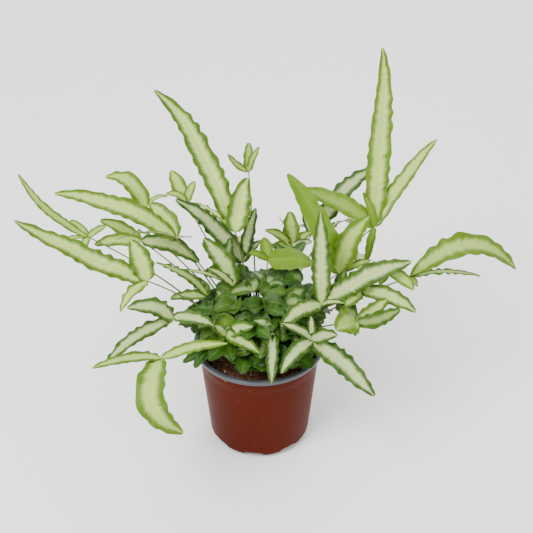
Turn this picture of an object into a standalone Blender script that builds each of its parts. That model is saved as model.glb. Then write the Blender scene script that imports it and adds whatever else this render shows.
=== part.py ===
"""Potted brake fern: a two-coloured nursery pot, its potting soil, the fern's rhizome and its fronds.

Run with: blender --background --python part.py
Each frond grew as one piece, so it is one solid: a wiry stipe with its strap-shaped leaflets.
"""
import math
from collections import namedtuple

import bmesh
import bpy
from mathutils import Matrix, Vector

MM = 0.001
CLEARANCE = 0.3 * MM
MERGE = 0.01 * MM

# The frame's origin lies under the middle of the whole plant's box, which the pot's axis stands beside.
POT_AXIS = Vector((-10 * MM, -20.5 * MM, 0))

# Pot
POT_HEIGHT = 105 * MM
POT_WALL = 1.0 * MM
RIM_RADIUS = 60 * MM
LIP_OVERHANG = 4 * MM
LIP_HEIGHT = 4.8 * MM
LIP_THICKNESS = 1.6 * MM
WALL_FOOT_RADIUS = 46 * MM
WALL_TOP_RADIUS = RIM_RADIUS - LIP_OVERHANG
COLLAR_HEIGHT = 12 * MM
COLLAR_STEP = 0.5 * MM
FOOT_CORNER = 9 * MM
FLOOR_RISE = 5 * MM
FOOT_RING_WIDTH = 5 * MM
NOTCH_COUNT = 8
NOTCH_WIDTH = 14 * MM
NOTCH_HEIGHT = 4.6 * MM
NOTCH_TURN = math.radians(-30)
DRAIN_COUNT = 6
DRAIN_RADIUS = 4 * MM
DRAIN_CIRCLE = 26 * MM
TURN_STEPS = 36

# Soil and rhizome
SOIL_DEPTH_BELOW_RIM = 9 * MM
SOIL_CROWN = 1.5 * MM
RHIZOME_RADIUS = 29 * MM
RHIZOME_HEIGHT = 5 * MM
RHIZOME_EDGE = 1.5 * MM
RHIZOME_STEPS = 24

# Fronds
LEAFLET_THICKNESS = 0.8 * MM
LEAFLET_BASE_SHARE = 0.10
LEAFLET_TIP_WIDTH = 0.8 * MM
LEAFLET_STEP = 25 * MM
STIPE_BASE_RADIUS = 0.9 * MM
STIPE_TOP_RADIUS = 0.65 * MM
STIPE_POINTS = 6
HUB_RADIUS = 1.3 * MM
FARTHEST_HUB = 157 * MM
STIPE_STEEPNESS = 0.62
STIPE_SPREAD = 0.36
FRONT_LIGHT = Vector((0.0, -0.6, 0.8))
BACK_LIGHT = Vector((0.0, 0.6, 0.8))

PLAN_RIM_HEIGHT = 105 * MM  # the rim's height in the frond plan, whose heights rise and fall with the rim

# A leaflet runs from its frond's hub to tip (mm). arch and side are shares of its length that its middle
# lifts and swings to the left, roll turns its blade about its length and twist adds to roll at the tip.
Leaflet = namedtuple("Leaflet", "tip width arch side roll twist", defaults=(0.08, 0.0, 0, 0))
# light is the side that its blades face, and solver joins them: EXACT, or MANIFOLD where EXACT loses a blade.
Frond = namedtuple("Frond", "name hub leaflets light solver", defaults=(FRONT_LIGHT, "EXACT"))
L = Leaflet

FRONDS = [
    Frond("frond_left_long", (-97, -15, 183), [
        L((-204, -20, 249), 19, arch=-0.02),
        L((-111, 0, 216), 18),
        L((-118, -45, 172), 11, arch=0.10, side=-0.05),
    ]),
    Frond("frond_left_high", (-75, 35, 194), [
        L((-180, 40, 238), 17, arch=0.10),
        L((-147, 60, 213), 13, arch=0.10),
        L((-98, 62, 213), 19),
        L((-124, 10, 210), 6, arch=0.12, roll=80),
    ]),
    Frond("frond_left_curled", (-105, 84, 194), [
        L((-142, 104, 218), 16, arch=0.25),
        L((-137, 84, 205), 5),
        L((-85, 95, 200), 4, arch=0.25),
    ]),
    Frond("frond_left_rear", (-68, 85, 198), [
        L((-83, 112, 218), 15),
        L((-86, 82, 211), 7, arch=0.20),
        L((-60, 101, 213), 8, arch=0.11),
    ], solver="MANIFOLD"),
    Frond("frond_far_left", (-153, 35, 195), [
        L((-207, 30, 264), 8, arch=-0.08),
        L((-137, 45, 201), 6),
        L((-159, 15, 180), 8, arch=0.2),
        L((-189, 20, 196), 4),
        L((-171, 50, 203), 7),
    ]),
    Frond("frond_left_inner", (-107, 45, 184), [
        L((-145, 60, 196), 11),
        L((-149, 40, 183), 11),
        L((-55, 45, 160), 12, arch=0.12),
    ]),
    Frond("frond_tall_left", (-21, 25, 207), [
        L((-92, 90, 313), 21, arch=0.05),
        L((-10, 45, 251), 19),
        L((-56, 35, 232), 5),
    ]),
    Frond("sprig_top", (-10, 110, 218), [
        L((-10, 124, 241), 9),
        L((-29, 115, 234), 6, arch=-0.12),
        L((0, 120, 239), 6),
    ]),
    Frond("frond_centre_rear", (-15, 45, 160), [
        L((-75, 55, 222), 18),
        L((-3, 75, 200), 11),
        L((2, 60, 175), 7),
    ]),
    Frond("frond_centre_left", (-23, 10, 159), [
        L((-49, 20, 204), 18),
        L((-68, 0, 184), 4),
        L((-45, 5, 182), 7),
    ]),
    Frond("frond_left_ribbon", (-46, 0, 156), [
        L((-89, -10, 199), 7, twist=70),
        L((-58, 10, 168), 9),
        L((-80, 4, 149), 9),
    ]),
    Frond("frond_front_left", (-74, -40, 162), [
        L((-111, -55, 184), 16, arch=0.12),
        L((-130, -80, 144), 13),
        L((-39, -45, 157), 11, arch=0.14),
    ]),
    Frond("frond_drooping", (-82, -80, 150), [
        L((-137, -100, 156), 9, arch=0.10),
        L((-63, -120, 102), 22, arch=0.20, side=-0.42),
        L((-26, -75, 162), 11),
    ]),
    Frond("frond_front_low", (-29, -35, 138), [
        L((-39, -40, 153), 9),
        L((-9, -50, 152), 11),
        L((-2, -60, 146), 9),
        L((-32, -30, 152), 9),
    ]),
    Frond("frond_right_long", (55, -15, 157), [
        L((132, -10, 200), 19, arch=0.07),
        L((53, 10, 238), 17, arch=0.03),
        L((19, -45, 156), 14, arch=0.14),
        L((74, -30, 170), 5),
    ]),
    Frond("frond_front_right", (46, -45, 141), [
        L((98, -95, 121), 18, arch=0.06),
        L((19, -75, 129), 13, arch=0.16),
        L((45, -35, 160), 7),
        L((19, -50, 164), 8),
        L((67, -60, 159), 12),
    ]),
    Frond("frond_front_middle", (12, -35, 143), [
        L((11, -75, 117), 11, arch=0.14),
        L((-4, -45, 163), 9),
    ]),
    Frond("frond_right_low", (84, -40, 157), [
        L((120, -50, 179), 12, arch=-0.08),
        L((65, -70, 172), 20, arch=0.10),
        L((111, -30, 175), 13, arch=-0.05),
        L((82, -60, 158), 7),
    ]),
    Frond("frond_right_middle", (90, -10, 168), [
        L((136, -31, 161), 14, arch=0.14),
        L((75, -25, 163), 10),
    ]),
    Frond("frond_right_broad", (71, 15, 169), [
        L((25, 60, 246), 21, arch=0.08),
        L((96, 20, 227), 21),
        L((100, 16, 183), 7),
    ]),
    Frond("frond_tall_right", (104, 50, 196), [
        L((109, 120, 340), 21, arch=0.04),
        L((160, 90, 264), 14, arch=0.06),
        L((93, 58, 228), 7),
        L((38, 92, 209), 16, arch=0.10),
        L((97, 30, 171), 7),
    ]),
    Frond("frond_right_rear", (49, 85, 164), [
        L((109, 120, 219), 19, arch=0.08),
        L((41, 100, 184), 9),
    ]),
    Frond("frond_centre_cluster", (30, 60, 168), [
        L((28, 80, 193), 14),
        L((5, 60, 186), 9),
        L((18, 70, 194), 4, roll=70),
        L((49, 70, 177), 8),
        L((49, 55, 176), 7),
        L((10, 50, 173), 7),
    ]),
    Frond("frond_centre_lime", (8, 30, 174), [
        L((4, 45, 188), 10),
        L((48, 20, 175), 18, arch=0.08),
        L((-9, 20, 188), 7),
    ]),
    Frond("frond_far_right", (134, 5, 172), [
        L((227, 15, 174), 20, arch=0.30),
        L((194, -5, 181), 6, arch=0.10, roll=70),
        L((120, 0, 176), 4),
        L((139, -10, 173), 5),
    ]),
    Frond("frond_right_lime", (114, -5, 185), [
        L((135, -15, 173), 10, arch=0.15),
        L((105, -15, 178), 6, arch=0.15),
    ]),
    Frond("frond_back_right", (60, 115, 140), [
        L((95, 160, 125), 13, arch=0.16),
        L((60, 170, 135), 15, arch=0.16),
        L((30, 150, 125), 12, arch=0.16),
    ], BACK_LIGHT),
    Frond("frond_back_middle", (25, 90, 135), [
        L((35, 140, 100), 13, arch=0.18),
        L((5, 135, 110), 11, arch=0.16),
    ], BACK_LIGHT),
    Frond("frond_back_left", (-25, 90, 140), [
        L((-38, 140, 110), 14, arch=0.18),
        L((-12, 140, 118), 11, arch=0.16),
        L((-50, 115, 130), 9, arch=0.12),
    ], BACK_LIGHT),
    Frond("frond_back_far_left", (-92, 95, 145), [
        L((-130, 125, 135), 14, arch=0.16),
        L((-100, 150, 120), 15, arch=0.18),
        L((-65, 115, 140), 9, arch=0.12),
    ], BACK_LIGHT),
    Frond("frond_back_far_right", (95, 75, 130), [
        L((128, 100, 110), 13, arch=0.18),
        L((100, 120, 115), 12, arch=0.16),
        L((120, 65, 125), 10, arch=0.14),
    ], BACK_LIGHT),
]

# Young fronds: short dark fronds that fill the crown, each at an azimuth (degrees), reach and height (mm) of
# its hub. Its three leaflets fan about its azimuth plus turn.
YoungFrond = namedtuple("YoungFrond", "azimuth reach height length width turn", defaults=(32, 14, 0))
YOUNG = [
    YoungFrond(-95, 14, 150, length=30, width=13),
    YoungFrond(-150, 30, 142, turn=30),
    YoungFrond(-30, 26, 140),
    YoungFrond(-112, 34, 118),
    YoungFrond(-52, 34, 116),
    YoungFrond(-88, 46, 112, length=28, width=12),
    YoungFrond(-162, 48, 124),
    YoungFrond(20, 44, 128),
    YoungFrond(145, 46, 120),
    YoungFrond(35, 49, 116),
    YoungFrond(77, 47, 122),
    YoungFrond(60, 20, 142, length=30, width=13),
    YoungFrond(115, 19, 146, length=30, width=13),
    YoungFrond(-90, 27, 126, length=26, width=12, turn=-15),
]
YOUNG_FAN = (-62, 0, 58)
YOUNG_RISE = (20, 32, 15)


def clear_scene():
    for item in list(bpy.data.objects):
        bpy.data.objects.remove(item, do_unlink=True)


def new_collection(name):
    collection = bpy.data.collections.new(name)
    bpy.context.scene.collection.children.link(collection)
    return collection


def principled(name, colour, roughness):
    material = bpy.data.materials.new(name)
    material.use_nodes = True
    shader = material.node_tree.nodes["Principled BSDF"]
    shader.inputs["Base Color"].default_value = (*colour, 1.0)
    shader.inputs["Roughness"].default_value = roughness
    shader.inputs["Metallic"].default_value = 0.0
    return material


def object_of(name, mesh, collection, material=None):
    item = bpy.data.objects.new(name, mesh)
    collection.objects.link(item)
    if material:
        mesh.materials.append(material)
    return item


def make_helper(item):
    item.hide_render = True
    item.display_type = "WIRE"
    return item


def mesh_from(name, fill):
    """A new mesh made by fill(bm)."""
    bm = bmesh.new()
    fill(bm)
    mesh = bpy.data.meshes.new(name)
    bm.to_mesh(mesh)
    bm.free()
    return mesh


def turned(name, profile, steps, collection, material=None):
    """A closed profile of (radius, height) points, listed down its outer side, turned about Z."""

    def fill(bm):
        points = [bm.verts.new((radius, 0, height)) for radius, height in profile]
        for a, b in zip(points, points[1:]):
            bm.edges.new((a, b))

    item = object_of(name, mesh_from(name, fill), collection, material)
    screw = item.modifiers.new("Turn", "SCREW")
    screw.steps = screw.render_steps = steps
    screw.use_merge_vertices = True
    screw.merge_threshold = MERGE
    return item


def boolean(item, other, operation, solver="EXACT"):
    modifier = item.modifiers.new(other.name, "BOOLEAN")
    modifier.operation = operation
    modifier.solver = solver
    modifier.object = other


# ---------------------------------------------------------------- pot

def wall_radius(height):
    """Outer radius of the pot's tapered wall, without its bottom corner."""
    return WALL_FOOT_RADIUS + (WALL_TOP_RADIUS - WALL_FOOT_RADIUS) * height / POT_HEIGHT


def corner_arc(radius, thickness=0.0, steps=3):
    """Points down the rounded bottom corner, inset by a thickness."""
    centre = wall_radius(radius) - radius
    inner = radius - thickness
    points = []
    for i in range(steps + 1):
        angle = i / steps * math.radians(72)
        points.append((centre + inner * math.cos(angle), radius - inner * math.sin(angle)))
    return points


def pot_profile():
    collar_base = POT_HEIGHT - LIP_HEIGHT - COLLAR_HEIGHT
    lip_base = POT_HEIGHT - LIP_HEIGHT
    outer = [
        (RIM_RADIUS - 0.8 * MM, POT_HEIGHT),
        (RIM_RADIUS, POT_HEIGHT - 1.2 * MM),
        (RIM_RADIUS, lip_base + 0.8 * MM),
        (RIM_RADIUS - 0.8 * MM, lip_base),
        (wall_radius(lip_base) + COLLAR_STEP, lip_base),
        (wall_radius(collar_base) + COLLAR_STEP, collar_base),
        (wall_radius(collar_base), collar_base - COLLAR_STEP),
    ]
    foot_edge = corner_arc(FOOT_CORNER)[-1][0]
    foot_inner = foot_edge - FOOT_RING_WIDTH
    bottom = [
        (foot_edge - 1.5 * MM, 0),
        (foot_inner, 0),
        (foot_inner - 2 * MM, FLOOR_RISE),
        (0, FLOOR_RISE),
        (0, FLOOR_RISE + POT_WALL),
        (foot_inner - 2 * MM, FLOOR_RISE + POT_WALL),
    ]
    inner = [
        (wall_radius(FOOT_CORNER) - POT_WALL, FOOT_CORNER + POT_WALL),
        (wall_radius(lip_base) - POT_WALL, lip_base),
        (RIM_RADIUS - LIP_THICKNESS - 1.8 * MM, POT_HEIGHT - 0.6 * MM),
        (RIM_RADIUS - LIP_THICKNESS - 0.6 * MM, POT_HEIGHT),
    ]
    profile = outer + corner_arc(FOOT_CORNER) + bottom + inner
    return profile + profile[:1]


def make_pot(parts, cutters):
    plastic = principled("terracotta_plastic", (0.30, 0.065, 0.035), 0.42)
    pot = turned("pot", pot_profile(), TURN_STEPS, parts, plastic)
    reach = WALL_TOP_RADIUS

    def fill_notch(bm):
        bmesh.ops.create_cube(bm, size=1)
        bmesh.ops.scale(bm, vec=(reach, NOTCH_WIDTH, 2 * NOTCH_HEIGHT), verts=bm.verts)
        bmesh.ops.translate(bm, vec=(0.5 * reach + WALL_FOOT_RADIUS * 0.7, 0, 0), verts=bm.verts)

    for i in range(NOTCH_COUNT):
        notch = make_helper(object_of(f"notch_{i + 1}", mesh_from("notch", fill_notch), cutters))
        notch.rotation_euler.z = NOTCH_TURN + (i + 0.5) * math.tau / NOTCH_COUNT
        boolean(pot, notch, "DIFFERENCE")

    def fill_drain(bm):
        bmesh.ops.create_cone(bm, cap_ends=True, segments=16, radius1=DRAIN_RADIUS,
                              radius2=DRAIN_RADIUS, depth=6 * FLOOR_RISE)

    for i in range(DRAIN_COUNT):
        drain = make_helper(object_of(f"drain_{i + 1}", mesh_from("drain", fill_drain), cutters))
        angle = i * math.tau / DRAIN_COUNT
        drain.location = (DRAIN_CIRCLE * math.cos(angle), DRAIN_CIRCLE * math.sin(angle), 0)
        boolean(pot, drain, "DIFFERENCE")
    return pot


# ---------------------------------------------------------------- soil and rhizome

def soil_edge_height():
    return POT_HEIGHT - SOIL_DEPTH_BELOW_RIM


def make_soil(parts):
    soil_brown = principled("potting_soil", (0.045, 0.02, 0.012), 0.95)
    bottom = FLOOR_RISE + POT_WALL + CLEARANCE
    top = soil_edge_height()
    inset = POT_WALL + CLEARANCE
    low = FOOT_CORNER + POT_WALL
    foot = corner_arc(FOOT_CORNER)[-1][0] - FOOT_RING_WIDTH - 3 * MM
    profile = [
        (0, top + SOIL_CROWN),
        (RHIZOME_RADIUS, top + SOIL_CROWN),
        (0.80 * wall_radius(top), top + 0.6 * MM),
        (wall_radius(top) - inset - 0.2 * MM, top),
        (wall_radius(low) - inset - 0.2 * MM, low + 2 * MM),
        (foot, bottom + 0.4 * MM),
        (0, bottom),
    ]
    return turned("potting_soil", profile, TURN_STEPS, parts, soil_brown)


def rhizome_base():
    return soil_edge_height() + SOIL_CROWN + CLEARANCE


def rhizome_top():
    return rhizome_base() + RHIZOME_HEIGHT


def make_rhizome(parts):
    scaly_brown = principled("rhizome_brown", (0.07, 0.035, 0.015), 0.9)
    base, top = rhizome_base(), rhizome_top()
    profile = [
        (0, top),
        (RHIZOME_RADIUS - RHIZOME_EDGE, top),
        (RHIZOME_RADIUS, top - RHIZOME_EDGE),
        (RHIZOME_RADIUS - 1 * MM, base),
        (0, base),
    ]
    return turned("rhizome", profile, RHIZOME_STEPS, parts, scaly_brown)


# ---------------------------------------------------------------- fronds

def point_mm(values):
    """A point of the frond plan, which stands on the pot's rim."""
    return Vector(values) * MM + Vector((0, 0, POT_HEIGHT - PLAN_RIM_HEIGHT))


def bezier(start, control, end, t):
    return start.lerp(control, t).lerp(control.lerp(end, t), t)


def bezier_tangent(start, control, end, t):
    return ((control - start).lerp(end - control, t)).normalized()


def leaflet_control(hub, leaflet):
    """The control point of the leaflet's centre line."""
    tip = point_mm(leaflet.tip)
    chord = tip - hub
    along = chord.normalized()
    lift = (Vector((0, 0, 1)) - along * along.z).normalized()
    left = lift.cross(along)
    middle = (hub + tip) / 2
    return middle + 2 * chord.length * (leaflet.arch * lift + leaflet.side * left)


def leaflet_half_width(t, width):
    """Strap shape: a narrow foot, widest before the middle, drawn out to a fine tip."""
    swell = math.sin(math.pi * t ** 0.62) ** 0.8
    return max(width * swell, LEAFLET_TIP_WIDTH, width * LEAFLET_BASE_SHARE * (1 - t)) / 2


def make_leaflet(name, hub, leaflet, light, cutters):
    """A thin curved strip from the hub to the tip."""
    tip = point_mm(leaflet.tip)
    control = leaflet_control(hub, leaflet)
    steps = min(7, max(3, round((tip - hub).length / LEAFLET_STEP) + 2))

    def fill(bm):
        bmesh.ops.create_grid(bm, x_segments=steps, y_segments=1, size=1)
        for vert in bm.verts:
            t = (vert.co.x + 1) / 2
            centre = bezier(hub, control, tip, t)
            along = bezier_tangent(hub, control, tip, t)
            facing = (light - along * light.dot(along)).normalized()
            turn = math.radians(leaflet.roll + leaflet.twist * t)
            across = Matrix.Rotation(turn, 3, along) @ facing.cross(along)
            half = leaflet_half_width(min(t, 0.999), leaflet.width * MM)
            vert.co = centre + across * vert.co.y * half
        bmesh.ops.recalc_face_normals(bm, faces=bm.faces)

    item = make_helper(object_of(name, mesh_from(name, fill), cutters))
    solidify = item.modifiers.new("Thickness", "SOLIDIFY")
    solidify.thickness = LEAFLET_THICKNESS
    solidify.offset = 0
    return item


def stipe_route(hub):
    """From the rhizome's flat top, where the feet spread as the hubs do, steeply up and then out to the hub."""
    spread = (RHIZOME_RADIUS - RHIZOME_EDGE - STIPE_BASE_RADIUS) / FARTHEST_HUB
    base = Vector((hub.x * spread, hub.y * spread, rhizome_top() + CLEARANCE))
    rise = hub - base
    control = base + Vector((rise.x * STIPE_SPREAD, rise.y * STIPE_SPREAD, rise.z * STIPE_STEEPNESS))
    return [bezier(base, control, hub, i / (STIPE_POINTS - 1)) for i in range(STIPE_POINTS)]


def make_stipe(name, hub, parts, material):
    route = stipe_route(hub)
    curve = bpy.data.curves.new(name, "CURVE")
    curve.dimensions = "3D"
    curve.bevel_depth = STIPE_BASE_RADIUS
    curve.bevel_resolution = 0
    curve.use_fill_caps = True
    spline = curve.splines.new("POLY")
    spline.points.add(len(route) - 1)
    for i, (point, place) in enumerate(zip(spline.points, route)):
        point.co = (*place, 1)
        point.radius = 1 + (STIPE_TOP_RADIUS / STIPE_BASE_RADIUS - 1) * i / (len(route) - 1)
    wire = bpy.data.objects.new(name + "_curve", curve)
    parts.objects.link(wire)
    graph = bpy.context.evaluated_depsgraph_get()
    mesh = bpy.data.meshes.new_from_object(wire.evaluated_get(graph))
    matrix = wire.matrix_world.copy()
    bpy.data.objects.remove(wire, do_unlink=True)
    bm = bmesh.new()
    bm.from_mesh(mesh)
    bmesh.ops.remove_doubles(bm, verts=bm.verts, dist=MERGE)
    foot = min(vert.co.z for vert in bm.verts)
    lowest = rhizome_top() + CLEARANCE
    for vert in bm.verts:
        if vert.co.z < lowest + STIPE_BASE_RADIUS and foot < lowest:
            vert.co.z = max(vert.co.z, lowest)
    bm.to_mesh(mesh)
    bm.free()
    item = object_of(name, mesh, parts, material)
    item.matrix_world = matrix
    return item


def make_frond(frond, parts, cutters, material):
    hub = point_mm(frond.hub)
    item = make_stipe(frond.name, hub, parts, material)

    def fill_hub(bm):
        bmesh.ops.create_icosphere(bm, subdivisions=1, radius=HUB_RADIUS)

    ball = make_helper(object_of(frond.name + "_hub", mesh_from("hub", fill_hub), cutters))
    ball.location = hub
    boolean(item, ball, "UNION", frond.solver)
    for i, leaflet in enumerate(frond.leaflets):
        blade = make_leaflet(f"{frond.name}_leaflet_{i + 1}", hub, leaflet, frond.light, cutters)
        boolean(item, blade, "UNION", frond.solver)
    return item


def young_fronds():
    """The short fronds round the crown, each with three leaflets fanned about its azimuth."""
    for i, young in enumerate(YOUNG):
        azimuth = math.radians(young.azimuth)
        out = Vector((math.cos(azimuth), math.sin(azimuth), 0))
        hub = out * young.reach + Vector((0, 0, young.height))
        bearing = Matrix.Rotation(math.radians(young.turn), 3, "Z") @ out
        leaflets = []
        for fan, rise in zip(YOUNG_FAN, YOUNG_RISE):
            direction = Matrix.Rotation(math.radians(fan), 3, "Z") @ bearing * math.cos(math.radians(rise))
            direction.z = math.sin(math.radians(rise))
            leaflets.append(Leaflet(hub + direction * young.length, young.width, arch=0.12))
        light = Vector((0.3 * out.x, 0.3 * out.y, 0.95))
        yield Frond(f"young_frond_{i + 1}", hub, leaflets, light)


def main():
    clear_scene()
    parts = new_collection("potted_fern")
    cutters = new_collection("helpers")
    make_pot(parts, cutters)
    make_soil(parts)
    make_rhizome(parts)
    green = principled("fern_leaf", (0.33, 0.45, 0.16), 0.5)
    dark_green = principled("young_fern_leaf", (0.10, 0.22, 0.05), 0.5)
    for frond in FRONDS:
        make_frond(frond, parts, cutters, green)
    for frond in young_fronds():
        make_frond(frond, parts, cutters, dark_green)
    for item in parts.objects:
        item.data.shade_smooth()
        item.data.set_sharp_from_angle(angle=math.radians(35))
    stand = bpy.data.objects.new("pot_axis", None)
    stand.location = POT_AXIS
    for item in [*parts.objects, *cutters.objects]:
        item.parent = stand
    cutters.objects.link(stand)


main()
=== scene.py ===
"""Potted brake fern: the looks of its pot, soil, rhizome and fronds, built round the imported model.

Lengths in the frond tables are millimetres from the point where the pot's axis meets the table.
"""
import math
import random
from collections import namedtuple

import bpy
import numpy as np
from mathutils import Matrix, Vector, noise


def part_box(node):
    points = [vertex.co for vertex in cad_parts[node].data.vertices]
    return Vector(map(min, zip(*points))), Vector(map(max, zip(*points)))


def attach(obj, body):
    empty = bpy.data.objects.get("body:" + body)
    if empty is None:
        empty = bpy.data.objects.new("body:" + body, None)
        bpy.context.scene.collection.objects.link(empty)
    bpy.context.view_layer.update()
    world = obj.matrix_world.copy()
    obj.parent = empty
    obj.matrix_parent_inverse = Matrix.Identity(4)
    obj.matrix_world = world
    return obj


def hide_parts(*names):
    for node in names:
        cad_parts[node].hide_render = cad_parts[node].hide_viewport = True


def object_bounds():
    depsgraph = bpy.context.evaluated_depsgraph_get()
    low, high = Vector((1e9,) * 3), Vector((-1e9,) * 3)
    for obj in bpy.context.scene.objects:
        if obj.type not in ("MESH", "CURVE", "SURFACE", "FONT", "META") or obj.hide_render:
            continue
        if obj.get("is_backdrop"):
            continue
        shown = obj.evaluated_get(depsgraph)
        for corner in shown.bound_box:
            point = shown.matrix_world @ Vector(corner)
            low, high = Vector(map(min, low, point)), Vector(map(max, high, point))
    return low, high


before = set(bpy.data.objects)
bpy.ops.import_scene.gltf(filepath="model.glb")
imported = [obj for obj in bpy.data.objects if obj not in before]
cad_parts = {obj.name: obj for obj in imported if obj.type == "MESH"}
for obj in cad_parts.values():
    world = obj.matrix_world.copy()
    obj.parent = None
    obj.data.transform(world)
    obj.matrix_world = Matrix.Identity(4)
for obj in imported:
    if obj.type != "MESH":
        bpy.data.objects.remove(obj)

bl_info = {
    "name": "Potted Brake Fern",
    "version": (1, 0, 0),
    "blender": (4, 5, 0),
    "location": "3D View > Sidebar > Fern",
    "description": "Builds a variegated brake fern in its nursery pot",
    "category": "Add Mesh",
}

MM = 0.001
CAD_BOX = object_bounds()
POT_LOW, POT_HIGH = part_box("pot")
SOIL_LOW, SOIL_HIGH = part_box("potting_soil")
RHIZOME_LOW, RHIZOME_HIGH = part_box("rhizome")
POT_AXIS = Vector(((POT_LOW[0] + POT_HIGH[0]) / 2, (POT_LOW[1] + POT_HIGH[1]) / 2, 0))

# Stage, in metres and watts. Each light has its name, place, size and power.
FLOOR_SIZE = 8
SKY_STRENGTH = 1.15
LIGHTS = (
    ("key", (-0.9, -1.1, 1.9), 1.0, 66.0),
    ("fill", (1.4, -0.9, 1.2), 1.2, 10.0),
    ("back", (0.3, 1.5, 1.5), 1.2, 18.0),
)
LIGHT_TARGET = Vector((0, 0, 0.15))
CAMERA_TARGET = Vector((0.0066, 0.0, 0.1877))  # from the pot's axis

# Pot, in metres and degrees
POT_HEIGHT = POT_HIGH[2]
RIM_RADIUS = (POT_HIGH[0] - POT_LOW[0]) / 2
LIP_OVERHANG = 4 * MM
FOOT_CORNER = 9 * MM
CORNER_TURN = -72
FLOOR_RISE = 5 * MM
NOTCH_TURN = -30
NOTCH_HEIGHT = 4.3 * MM
NOTCH_REACH = 8.5 * MM
DRAIN_COUNT = 6
DRAIN_RADIUS = 4 * MM
DRAIN_CIRCLE = 26 * MM

# Soil, in millimetres
SOIL_CROWN = 1.5
SOIL_RADIUS = 54
CRUMB_RADIUS = 52.3
FIBRE_RADIUS = 49.5

# Rhizome
SCALE_COUNT = 420

# ---------------------------------------- the plant's own plan

FRONT_LIGHT = (0.0, -0.6, 0.8)
BACK_LIGHT = (0.0, 0.6, 0.8)

# A blade runs from its frond's hub to tip, width wide. arch and side are shares of its length that its middle
# lifts and swings to the left, hook is the share that its outer part swings to the left before the tip comes
# back, and curl is the share that its last third drops. roll turns it about its length in degrees, and twist
# adds to roll towards the tip. late moves its widest place towards its tip. age runs from 0, lime all over,
# to 1, dark margins, and pale is how white its middle is. A blade with no age or pale has its frond's.
Blade = namedtuple("Blade", "tip width arch side roll twist curl age pale hook late",
                   defaults=(0.08, 0.0, 0, 0, 0.0, None, None, 0.0, 0.0))
Frond = namedtuple("Frond", "name hub age pale blades light", defaults=(FRONT_LIGHT,))
B = Blade

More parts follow.
